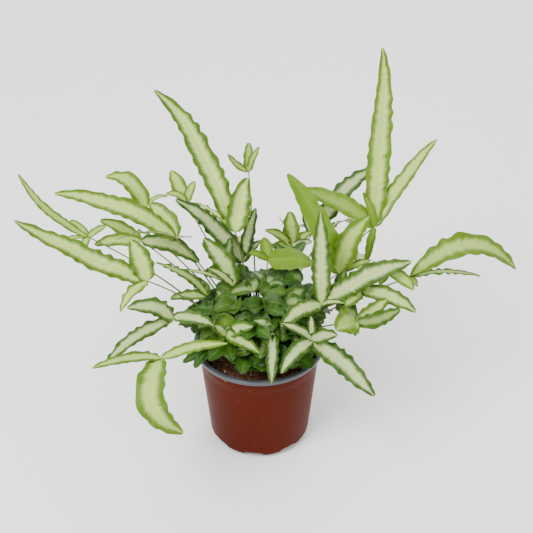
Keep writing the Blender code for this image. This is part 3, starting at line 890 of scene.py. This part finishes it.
def build_frond(frond, patterns, draw, settings, node=None):
    """One frond in one piece: its stipe, and its blades with their midribs."""
    hub = np.array(frond.hub, float)
    upper, under, stalk = frond_finishes()
    blades, rods = [], []
    widths = []
    for blade in frond.blades:
        length = np.linalg.norm(np.array(blade.tip) - hub)
        pattern = patterns[blade_kind(length)]
        age = frond.age if blade.age is None else blade.age
        pale = frond.pale if blade.pale is None else blade.pale
        seed = draw.random()
        loose = min(1, length / 45)
        blade = blade._replace(roll=blade.roll + loose * draw.uniform(-ROLL_SPREAD, ROLL_SPREAD),
                               twist=blade.twist + loose * draw.uniform(-TWIST_SPREAD, TWIST_SPREAD))
        item = copy_piece(pattern.piece, "blade")
        lay_blade(item, pattern.rows, hub, blade, frond.light, age, draw, settings)
        mark(item, len(widths), age, pale, seed)
        widths.append(blade.width)
        blades.append(item)
        rod = patterns["midrib"]
        centre, along, t = blade_rows(hub, blade, rod.rows + 1)
        across, outward = frames_along(along, t, blade, frond.light)
        keep = 0.26 + 0.08 * min(1.5, blade.width / 14)
        below = centre - outward * (0.38 + keep * 0.9)
        item = lay_rod(rod, "midrib", below, across, outward, keep, MIDRIB_END)
        mark(item, len(widths), age, pale, seed)
        widths.append(1.2)
        rods.append(item)
    leaf = join_pieces("leaf", blades)
    paint(leaf, upper, under, stalk)
    apply_modifier(leaf, "SOLIDIFY", thickness=settings.blade_thickness, offset=-1.0, material_offset=1,
                   material_offset_rim=0, use_even_offset=False)
    foot, control = stipe_start(hub)
    item = lay_wire(patterns["stipe"], "stipe", foot, control, hub, settings.stipe_foot / MM,
                    settings.stipe_top / MM)
    mark(item, len(widths), frond.age, frond.pale, 0.0)
    widths.append(2.5)
    rods.append(item)
    for item in rods:
        paint(item, stalk)
    piece = join_pieces(f"{node}_grown" if node else frond.name, [leaf, *rods])
    lay_out_bake(piece, widths)
    return settle(piece, node, smooth=50)


def young_fronds():
    for number, young in enumerate(YOUNG, 1):
        azimuth = math.radians(young.azimuth)
        out = np.array((math.cos(azimuth), math.sin(azimuth), 0))
        hub = out * young.reach + (0, 0, young.height)
        blades = []
        for fan, rise in zip(YOUNG_FAN, YOUNG_RISE):
            bearing = azimuth + math.radians(young.turn + fan)
            lean = math.radians(rise)
            direction = np.array((math.cos(bearing) * math.cos(lean), math.sin(bearing) * math.cos(lean),
                                  math.sin(lean)))
            blades.append(Blade(tuple(hub + direction * young.length), young.width, arch=0.12))
        light = (0.3 * out[0], 0.3 * out[1], 0.95)
        yield Frond(f"young_frond_{number}", tuple(hub), YOUNG_AGE, YOUNG_PALE, blades, light)


# ---------------------------------------- settings

def colour_setting(name, description, default):
    return bpy.props.FloatVectorProperty(name=name, description=description, default=colour(default)[:3],
                                         subtype="COLOR", min=0, max=1)


def length_setting(name, description, default):
    return bpy.props.FloatProperty(name=name, description=description, default=default, unit="LENGTH")


def angle_setting(name, description, degrees):
    return bpy.props.FloatProperty(name=name, description=description, default=math.radians(degrees),
                                   subtype="ANGLE")


def count_setting(name, description, default, least=0):
    return bpy.props.IntProperty(name=name, description=description, default=default, min=least)


class FernPotSettings(bpy.types.PropertyGroup):
    outside: colour_setting("Outside", "Colour of the pot's outer layer", "42150A")
    inside: colour_setting("Inside", "Colour of the pot's inner layer and its lip", "3C4044")
    lip_height: length_setting("Lip Height", "Height of the rolled lip", 4 * MM)
    collar_height: length_setting("Collar Height", "Height of the collar under the lip", 12 * MM)
    wall: length_setting("Wall", "Thickness of the wall", 1 * MM)
    foot_radius: length_setting("Foot Radius", "Radius of the wall where it would meet the table", 46 * MM)
    notches: count_setting("Notches", "Number of notches in the foot ring", 8, least=3)
    steps: count_setting("Steps", "Faces round the pot", 160, least=24)


class FernSoilSettings(bpy.types.PropertyGroup):
    crumbs: count_setting("Crumbs", "Number of loose crumbs on the soil", 1300)
    fibres: count_setting("Fibres", "Number of bark fibres on the soil", 420)
    perlite: count_setting("Perlite", "Number of white perlite grains", 46)
    roughness: length_setting("Roughness", "Height of the soil's lumps", 1.6 * MM)


class FernFrondSettings(bpy.types.PropertyGroup):
    ruffle_depth: length_setting("Ruffle Depth", "How far a margin waves up and down", 1.8 * MM)
    ruffle_length: length_setting("Ruffle Length", "Length of one wave of the margin", 13.5 * MM)
    tooth_depth: length_setting("Tooth Depth", "Depth of the fine teeth along the margin", 0.28 * MM)
    fold: angle_setting("Fold", "Angle that each half of a blade rises from the midrib", 16)
    blade_thickness: length_setting("Blade Thickness", "Thickness of a leaflet", 0.28 * MM)
    stipe_foot: length_setting("Stipe Foot", "Radius of a stipe at its foot", 0.9 * MM)
    stipe_top: length_setting("Stipe Top", "Radius of a stipe at its hub", 0.6 * MM)
    seed: count_setting("Seed", "Start of the plant's random draws", 11)


class FernStageSettings(bpy.types.PropertyGroup):
    distance: length_setting("Distance", "From the camera to the plant's middle", 1.10)
    elevation: angle_setting("Elevation", "Angle that the camera looks down at", 35.7)
    lens: bpy.props.FloatProperty(
        name="Lens", description="Focal length of the camera in millimetres", default=84.8)


# ---------------------------------------- pot

def wall_radius(z, settings):
    """Outer radius of the pot's tapered wall at a height."""
    return settings.foot_radius + (RIM_RADIUS - LIP_OVERHANG - settings.foot_radius) * z / POT_HEIGHT


def arc(centre, radius, start, end, count):
    """Points round a centre, between two angles in degrees."""
    turns = [math.radians(start + (end - start) * i / count) for i in range(count + 1)]
    return [(centre[0] + radius * math.cos(a), centre[1] + radius * math.sin(a)) for a in turns]


def foot_edge(settings):
    """Rounded bottom corner of the pot, down to its foot ring."""
    centre = (wall_radius(FOOT_CORNER, settings) - FOOT_CORNER, FOOT_CORNER)
    return arc(centre, FOOT_CORNER, 0, CORNER_TURN, 12)


def pot_profile(settings):
    """The pot's closed outline: down its outside, under its raised floor and up its inside."""
    def wall(z):
        return wall_radius(z, settings)

    floor = FLOOR_RISE
    inner_floor = floor + settings.wall
    lip = POT_HEIGHT - settings.lip_height
    collar = lip - settings.collar_height
    rolled_edge = arc((RIM_RADIUS - 1.3 * MM, POT_HEIGHT - 1.3 * MM), 1.3 * MM, 90, 0, 6)
    lip_bottom = arc((RIM_RADIUS - 0.8 * MM, lip + 0.8 * MM), 0.8 * MM, 0, -90, 4)
    under_lip = arc((wall(lip) + 1.1 * MM, lip - 0.6 * MM), 0.6 * MM, 90, 180, 3)
    collar_side = [(wall(z) + 0.5 * MM, z) for z in np.linspace(lip - 1.6 * MM, collar + 0.3 * MM, 3)]
    step = [(0.35, 0.1), (0.08, 0.35)]
    collar_step = [(wall(collar) + out * MM, collar - drop * MM) for out, drop in step]
    outer_wall = [(wall(z), z) for z in np.linspace(collar - 0.9 * MM, FOOT_CORNER + 2 * MM, 14)]
    corner = foot_edge(settings)
    foot = corner[-1][0]
    ring = [(0.7, 0.12), (1.5, 0.0), (4.6, 0.0), (5.0, 0.15), (5.4, 0.9)]
    foot_ring = [(foot - inset * MM, rise * MM) for inset, rise in ring]
    bottom = [(foot - 6.8 * MM, floor - 0.6 * MM), (foot - 7.6 * MM, floor), (foot - 14 * MM, floor),
              (14 * MM, floor), (0.2 * MM, floor)]
    inside_floor = [(0.2 * MM, inner_floor), (14 * MM, inner_floor), (foot - 8.4 * MM, inner_floor),
                    (wall(FOOT_CORNER) - settings.wall, FOOT_CORNER + settings.wall)]
    heights = np.linspace(FOOT_CORNER + 6 * MM, lip - 1.5 * MM, 10)
    inner_wall = [(wall(z) - settings.wall, z) for z in heights]
    lip_hollow = arc((wall(lip) + 0.9 * MM, lip + 0.2 * MM), 1.9 * MM, 180, 140, 3)
    lip_inside = arc((RIM_RADIUS - 3.1 * MM, POT_HEIGHT - 0.9 * MM), 0.9 * MM, 160, 90, 4)
    profile = rolled_edge + lip_bottom + under_lip + collar_side + collar_step + outer_wall + corner
    profile += foot_ring + bottom + inside_floor + inner_wall + lip_hollow + lip_inside
    return profile + profile[:1]


def colour_layers(pot, settings):
    """Gives the pot its terracotta outside and its grey inside and lip."""
    lip = POT_HEIGHT - settings.lip_height
    paint(pot, plastic_finish("pot_terracotta", (*settings.outside, 1), "531D10", 0.40, 0.03),
          plastic_finish("pot_grey", (*settings.inside, 1), "50555A", 0.28, 0.30))
    for face in pot.data.polygons:
        middle = face.center
        wall_middle = wall_radius(middle.z, settings) - 0.5 * settings.wall
        inside = math.hypot(middle.x, middle.y) < wall_middle and middle.z > FLOOR_RISE
        face.material_index = 1 if inside or middle.z > lip - 0.05 * MM else 0


def notch_foot(pot, settings):
    """Raises the foot ring and the wall's bottom into smooth notches."""
    ring_inside = foot_edge(settings)[-1][0] - 6.9 * MM
    floor_edge = wall_radius(FOOT_CORNER, settings) - FOOT_CORNER
    for vertex in pot.data.vertices:
        spot = vertex.co
        radius = math.hypot(spot.x, spot.y)
        if spot.z > NOTCH_REACH or radius < ring_inside or radius > wall_radius(spot.z, settings) + 0.01 * MM:
            continue
        if spot.z > FLOOR_RISE and radius < floor_edge:
            continue
        angle = (math.atan2(spot.y, spot.x) - math.radians(NOTCH_TURN)) * settings.notches
        raised = max(0.0, min(1.0, (0.15 - math.cos(angle)) / 0.55))
        raised = raised * raised * (3 - 2 * raised)
        spot.z += NOTCH_HEIGHT * raised * (1 - spot.z / NOTCH_REACH)
    pot.data.update()


def drill_drains(pot):
    drills = []
    for number in range(DRAIN_COUNT):
        turn = number * math.tau / DRAIN_COUNT
        place = (DRAIN_CIRCLE * math.cos(turn), DRAIN_CIRCLE * math.sin(turn), FLOOR_RISE)
        drills.append(primitive("drill", bpy.ops.mesh.primitive_cylinder_add, vertices=40,
                                radius=DRAIN_RADIUS, depth=10 * MM, location=place))
    drill = join_pieces("drill", drills)
    bpy.ops.object.transform_apply(location=True, rotation=True, scale=True)
    apply_modifier(pot, "BOOLEAN", object=drill, operation="DIFFERENCE", solver="EXACT")
    discard(drill)


class FERN_OT_pot(bpy.types.Operator):
    """Turn the two-coloured pot with its lip, collar, notched foot ring and drain holes"""
    bl_idname = "fern.pot"
    bl_label = "Pot"

    def execute(self, context):
        settings = context.scene.fern_pot
        pot = lathe("pot_shell", pot_profile(settings), settings.steps)
        colour_layers(pot, settings)
        notch_foot(pot, settings)
        drill_drains(pot)
        settle(pot, "pot", smooth=40)
        return {"FINISHED"}


# ---------------------------------------- soil and rhizome

def soil_height(x, y, depth):
    """Height of the lumpy soil at a place, in millimetres about the pot's axis."""
    crown = SOIL_HIGH[2] / MM - SOIL_CROWN * min(1.0, math.hypot(x, y) / SOIL_RADIUS) ** 2
    clods = noise.noise(Vector((x / 7, y / 7, 1.3))) * 0.9
    lumps = clods + noise.noise(Vector((x / 2.6, y / 2.6, 4.1))) * 0.5
    return crown - 0.6 + lumps * depth / MM


def soil_spots(draw, count, inner, outer, depth):
    """Places on the soil's surface, evenly spread between two radii."""
    for _ in range(count):
        radius = math.sqrt(draw.uniform(inner * inner, outer * outer))
        angle = draw.uniform(0, math.tau)
        x, y = radius * math.cos(angle), radius * math.sin(angle)
        yield x, y, soil_height(x, y, depth)


def scatter(name, grain, spots, sizes, sink, finish, draw):
    """Strews lumpy copies of a grain over the soil."""
    copies = []
    for x, y, z in spots:
        item = copy_piece(grain, name)
        size = draw.uniform(*sizes)
        stretch = np.array([draw.uniform(0.6, 1.3) * size for _ in range(3)])
        points = points_of(item.data)
        rough = np.array([1 + 0.35 * noise.noise(Vector(p) * 2.1 + Vector((x, y, 0))) for p in points])
        turn = draw.uniform(0, math.tau)
        cosine, sine = math.cos(turn), math.sin(turn)
        spin = np.array(((cosine, -sine, 0), (sine, cosine, 0), (0, 0, 1)))
        points = points * rough[:, None] * stretch
        move_points(item.data, (points @ spin.T + (x, y, z + size * sink)) * MM)
        copies.append(item)
    piece = join_pieces(name, copies)
    paint(piece, finish)
    settle(piece, None, smooth=40)


def soil_ball(settings):
    """The root ball that fills the pot, with its lumpy top."""
    wide = (SOIL_HIGH[0] - SOIL_LOW[0]) / 2
    low, top = SOIL_LOW[2], SOIL_HIGH[2]
    profile = [(r * MM, top) for r in np.linspace(0.3, wide / MM - 0.7, 42)]
    profile += [(wide - 0.1 * MM, top - 1.5 * MM), (wide - 4 * MM, top - 45 * MM)]
    profile += [(wide - 9 * MM, low + 10 * MM), (wide - 21 * MM, low + 1 * MM), (0.3 * MM, low)]
    soil = lathe("soil_ball", profile + profile[:1], 150)
    for vertex in soil.data.vertices:
        if vertex.co.z > top - 0.01 * MM:
            vertex.co.z = soil_height(vertex.co.x / MM, vertex.co.y / MM, settings.roughness) * MM
    paint(soil, earth_finish("peat", "2C1B13", "5A3A29", "A57C56"))
    settle(soil, "potting_soil", smooth=60)


def bark_fibres(settings, draw):
    """Loose bark fibres on the soil, and one that hangs over the lip."""
    rod = tube_pattern("fibre", 8, 5)
    copies = []
    for x, y, z in soil_spots(draw, settings.fibres, 24, FIBRE_RADIUS, settings.roughness):
        bearing = draw.uniform(0, math.tau)
        reach = draw.uniform(2, 8.5)
        if math.hypot(x + math.cos(bearing) * reach, y + math.sin(bearing) * reach) > FIBRE_RADIUS + 2.5:
            bearing += math.pi
        ahead = np.array((math.cos(bearing), math.sin(bearing), draw.uniform(-0.05, 0.22)))
        start = np.array((x, y, z + 0.3))
        end = start + ahead * reach
        bend = (start + end) / 2 + (draw.uniform(-1.5, 1.5), draw.uniform(-1.5, 1.5), draw.uniform(0, 1.2))
        copies.append(lay_wire(rod, "fibre", start, bend, end, draw.uniform(0.12, 0.3), 0.06))
    start, bend, end = np.array(((-33, -45, 100.0), (-33, -54, 110.0), (-29, -57.5, 103.6)))
    copies.append(lay_wire(rod, "fibre", start, bend, end, 0.3, 0.2))
    fibres = join_pieces("bark_fibres", copies)
    paint(fibres, earth_finish("bark_fibre", "6A4A30", "9C7448", "C49C6C", 0.8))
    settle(fibres, None, smooth=50)
    discard(rod.piece)


class FERN_OT_soil(bpy.types.Operator):
    """Fill the pot with lumpy soil, crumbs, bark fibres and perlite"""
    bl_idname = "fern.soil"
    bl_label = "Potting Soil"

    def execute(self, context):
        settings = context.scene.fern_soil
        draw = random.Random(5)
        soil_ball(settings)
        crumb = primitive("crumb", bpy.ops.mesh.primitive_ico_sphere_add, subdivisions=1, radius=1)
        grain = primitive("grain", bpy.ops.mesh.primitive_ico_sphere_add, subdivisions=2, radius=1)
        bark = earth_finish("bark_crumb", "38231A", "6B462F", "A07350")
        spots = soil_spots(draw, settings.crumbs, 20, CRUMB_RADIUS, settings.roughness)
        scatter("soil_crumbs", crumb, spots, (0.35, 1.25), 0.35, bark, draw)
        white = earth_finish("perlite", "8E8A80", "C2BEB2", "DDD9CE", 0.85)
        spots = soil_spots(draw, settings.perlite, 24, CRUMB_RADIUS - 0.8, settings.roughness)
        scatter("perlite_grains", grain, spots, (0.45, 1.05), 0.55, white, draw)
        discard(crumb, grain)
        bark_fibres(settings, draw)
        return {"FINISHED"}


class FERN_OT_rhizome(bpy.types.Operator):
    """Grow the knobbly rhizome and the brown scales on it"""
    bl_idname = "fern.rhizome"
    bl_label = "Rhizome"

    def execute(self, context):
        draw = random.Random(9)
        wide = (RHIZOME_HIGH[0] - RHIZOME_LOW[0]) / 2 / MM
        low, top = RHIZOME_LOW[2] / MM, RHIZOME_HIGH[2] / MM
        knot = primitive("rhizome_knot", bpy.ops.mesh.primitive_uv_sphere_add, segments=96, ring_count=40,
                         radius=1)
        points = points_of(knot.data)
        lumps = [noise.noise(Vector(p) * 3.1) * 0.16 + noise.noise(Vector(p) * 9.0) * 0.07 for p in points]
        points = points * (1 + np.array(lumps))[:, None]
        points = points * (wide - 2, wide - 2, (top - low) * 0.62) + (0, 0, (top + low) / 2 - 0.6)
        points[:, 2] = np.clip(points[:, 2], low - 1.2, top + 0.4)
        move_points(knot.data, points * MM)
        paint(knot, earth_finish("rhizome_bark", "2A1A10", "4C3220", "75523A", 0.85))
        settle(knot, "rhizome", smooth=60)

        rod = tube_pattern("scale", 4, 4)
        copies = []
        for _ in range(SCALE_COUNT):
            radius = math.sqrt(draw.uniform(0, 1)) * (wide - 3)
            angle = draw.uniform(0, math.tau)
            height = top - 0.8 - 2.2 * (radius / wide) ** 4
            foot = np.array((radius * math.cos(angle), radius * math.sin(angle), height))
            lean = np.array((draw.uniform(-1, 1), draw.uniform(-1, 1), draw.uniform(0.5, 1.6)))
            end = foot + unit(lean) * draw.uniform(1.6, 4.2)
            bend = (foot + end) / 2 + (0, 0, 0.5)
            copies.append(lay_wire(rod, "scale", foot, bend, end, draw.uniform(0.2, 0.45), 0.05))
        scales = join_pieces("rhizome_scales", copies)
        paint(scales, earth_finish("rhizome_scale", "3A2415", "6B4529", "8F6A45", 0.75))
        settle(scales, None, smooth=50)
        discard(rod.piece)
        return {"FINISHED"}


# ---------------------------------------- fronds

def frond_patterns(detail):
    makers = {"midrib": tube_pattern, "stipe": tube_pattern}
    return {name: makers.get(name, blade_pattern)(name, *counts) for name, counts in detail.items()}


def discard_patterns(patterns):
    discard(*[pattern.piece for pattern in patterns.values()])


def frond_finishes():
    if "fern_leaf_upper" not in bpy.data.materials:
        leaf_finish("fern_leaf_upper")
        leaf_finish("fern_leaf_under", underside=True)
        stipe_finish()
    return [bpy.data.materials[name] for name in ("fern_leaf_upper", "fern_leaf_under", "fern_stipe")]


class FERN_OT_fronds(bpy.types.Operator):
    """Grow the fronds, each in one piece with its stipe and leaflets"""
    bl_idname = "fern.fronds"
    bl_label = "Fronds"

    def execute(self, context):
        settings = context.scene.fern_fronds
        draw = random.Random(settings.seed)
        patterns = frond_patterns(FROND_DETAIL)
        for frond in (*FRONDS, *young_fronds()):
            build_frond(frond, patterns, draw, settings, frond.name)
        discard_patterns(patterns)
        return {"FINISHED"}


def crown_fronds(draw):
    """Small fronds of three round leaflets, spread over the crown and lower towards its edge."""
    for number in range(CROWN_COUNT):
        azimuth = number * GOLDEN_TURN + draw.uniform(-0.2, 0.2)
        out = math.sqrt((number + 0.5) / CROWN_COUNT)
        height = CROWN_TOP - CROWN_FALL * out ** 3 + draw.uniform(-8, 6)
        hub = (CROWN_RADIUS * out * math.cos(azimuth), CROWN_RADIUS * out * math.sin(azimuth), height)
        blades = []
        for turn in (-1, 0, 1):
            bearing = azimuth + turn * draw.uniform(0.95, 1.25)
            lean = draw.uniform(-0.1, 0.45)
            length = draw.uniform(15, 24)
            tip = (hub[0] + length * math.cos(bearing) * math.cos(lean),
                   hub[1] + length * math.sin(bearing) * math.cos(lean),
                   hub[2] + length * math.sin(lean))
            blades.append(Blade(tip, draw.uniform(12, 15.5), arch=0.18))
        light = (0.4 * math.cos(azimuth), 0.4 * math.sin(azimuth) - 0.3, 0.85)
        age = draw.uniform(0.75, 1.0)
        yield Frond(f"crown_frond_{number}", hub, age, draw.choice((0.1, 0.25, 0.4, 0.6)), blades, light)


def stack_bake(piece, index, count):
    """Squeezes a frond's rows of the bake map into one of count equal bands."""
    mesh = piece.data
    laid = read(mesh.uv_layers["OFBake"].uv, "vector", 2, np.float32)
    laid[:, 1] = (laid[:, 1] + index) / count
    write_map(mesh, "OFBake", laid)


class FERN_OT_crown(bpy.types.Operator):
    """Fill the crown with the small round leaflets of the youngest fronds"""
    bl_idname = "fern.crown"
    bl_label = "Crown Leaflets"

    def execute(self, context):
        settings = context.scene.fern_fronds
        draw = random.Random(settings.seed + 1)
        patterns = frond_patterns(CROWN_DETAIL)
        crown = [*crown_fronds(draw), *CROWN_FILL]
        for group in range(CROWN_GROUPS):
            members = crown[group::CROWN_GROUPS]
            pieces = []
            for index, frond in enumerate(members):
                piece = build_frond(frond, patterns, draw, settings)
                stack_bake(piece, index, len(members))
                pieces.append(piece)
            join_pieces(f"crown_leaflets_{group + 1}", pieces)
        discard_patterns(patterns)
        return {"FINISHED"}


# ---------------------------------------- stage

class FERN_OT_stage(bpy.types.Operator):
    """Set the pale floor, the soft lights and the camera"""
    bl_idname = "fern.stage"
    bl_label = "Stage"

    def execute(self, context):
        settings = context.scene.fern_stage
        floor = primitive("floor", bpy.ops.mesh.primitive_plane_add, size=FLOOR_SIZE)
        paint(floor, Finish("studio_paper", Roughness=0.9, Base_Color=colour("FCFCFB")).material)
        floor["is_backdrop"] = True

        world = bpy.data.worlds.new("studio")
        context.scene.world = world
        world.use_nodes = True
        background = world.node_tree.nodes["Background"]
        background.inputs["Color"].default_value = (1, 1, 1, 1)
        background.inputs["Strength"].default_value = SKY_STRENGTH
        for name, place, size, power in LIGHTS:
            bpy.ops.object.light_add(type="AREA", location=place)
            light = bpy.context.object
            light.name = name
            light.data.size = size
            light.data.energy = power
            light.rotation_euler = (LIGHT_TARGET - Vector(place)).to_track_quat("-Z", "Y").to_euler()

        away = Vector((0, -math.cos(settings.elevation), math.sin(settings.elevation)))
        bpy.ops.object.camera_add(location=POT_AXIS + CAMERA_TARGET + away * settings.distance)
        camera = bpy.context.object
        camera.name = "camera"
        camera.data.lens = settings.lens
        camera.data.sensor_width = 36
        camera.rotation_euler = (-away).to_track_quat("-Z", "Y").to_euler()
        context.scene.camera = camera
        return {"FINISHED"}


# ---------------------------------------- panel and start

class FERN_PT_panel(bpy.types.Panel):
    """Lists the fern's pieces and their settings"""
    bl_label = "Potted Fern"
    bl_idname = "FERN_PT_panel"
    bl_space_type = "VIEW_3D"
    bl_region_type = "UI"
    bl_category = "Fern"

    def draw(self, context):
        for operator in OPERATORS:
            self.layout.operator(operator.bl_idname)
        for name, group in GROUPS.items():
            box = self.layout.box()
            for field in group.__annotations__:
                box.prop(getattr(context.scene, name), field)


OPERATORS = (FERN_OT_pot, FERN_OT_soil, FERN_OT_rhizome, FERN_OT_fronds, FERN_OT_crown, FERN_OT_stage)
GROUPS = {"fern_pot": FernPotSettings, "fern_soil": FernSoilSettings, "fern_fronds": FernFrondSettings,
          "fern_stage": FernStageSettings}


def register():
    for kind in (*GROUPS.values(), *OPERATORS, FERN_PT_panel):
        bpy.utils.register_class(kind)
    for name, group in GROUPS.items():
        setattr(bpy.types.Scene, name, bpy.props.PointerProperty(type=group))


def unregister():
    for name in GROUPS:
        delattr(bpy.types.Scene, name)
    for kind in reversed((*GROUPS.values(), *OPERATORS, FERN_PT_panel)):
        bpy.utils.unregister_class(kind)


def main():
    register()
    bpy.ops.fern.pot()
    bpy.ops.fern.soil()
    bpy.ops.fern.rhizome()
    bpy.ops.fern.fronds()
    bpy.ops.fern.crown()
    bpy.ops.fern.stage()
    boxes = {"cad": CAD_BOX, "visual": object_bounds()}
    {name: [[float(v) for v in corner] for corner in box] for name, box in boxes.items()}


if __name__ == "__main__":
    main()
